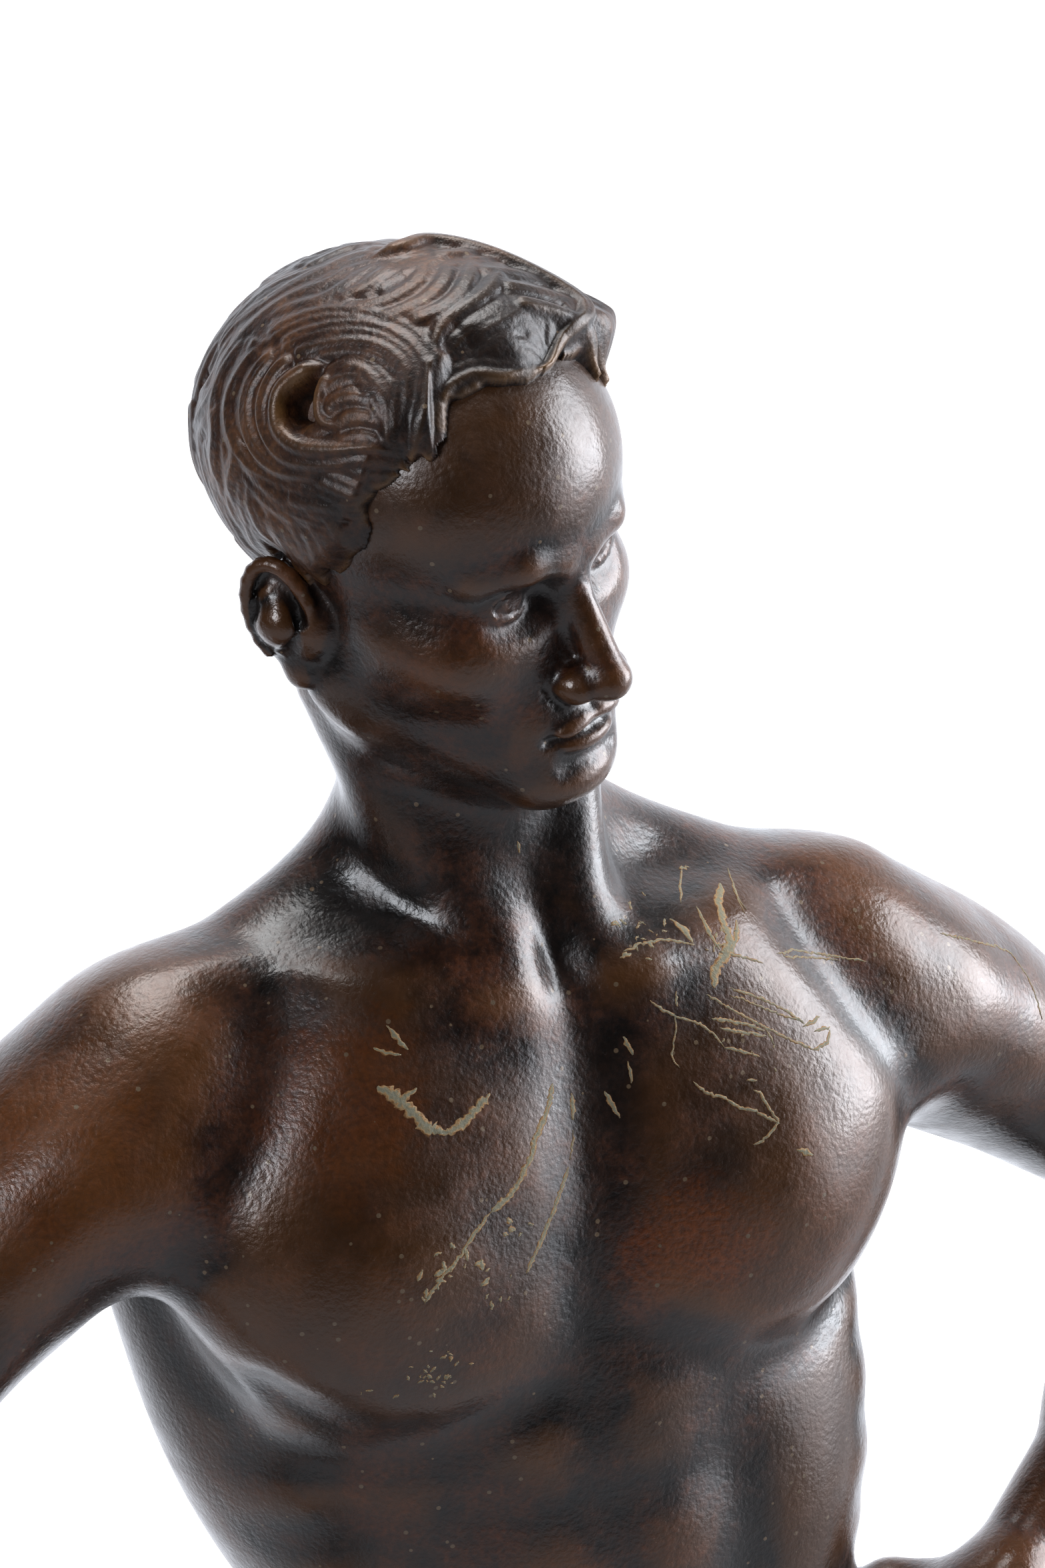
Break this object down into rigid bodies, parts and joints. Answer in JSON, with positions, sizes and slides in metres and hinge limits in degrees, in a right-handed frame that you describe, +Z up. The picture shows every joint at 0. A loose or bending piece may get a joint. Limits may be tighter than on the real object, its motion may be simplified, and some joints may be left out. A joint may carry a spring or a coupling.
{
  "type": "statue",
  "caption": "Cast bronze statue of a standing smith in a leather apron, one hand on a hammer set on a low anvil, the other on the hip, on a low moulded base.",
  "frame": {"origin": "centre of the base's underside", "axes": "+Z up along the standing figure, the figure faces -Y, and its left side is +X"},
  "size_m": [0.2678, 0.12, 0.5005],
  "materials": {
    "bronze_figure": "dark brown patinated bronze, waxed",
    "bronze_tools": "dark brown patinated bronze, waxed",
    "bronze_base": "dark brown patinated bronze, waxed"
  },
  "bodies": {
    "root": {"figure": "bronze_figure", "hammer": "bronze_tools", "anvil": "bronze_tools", "base": "bronze_base"}
  },
  "joints": []
}
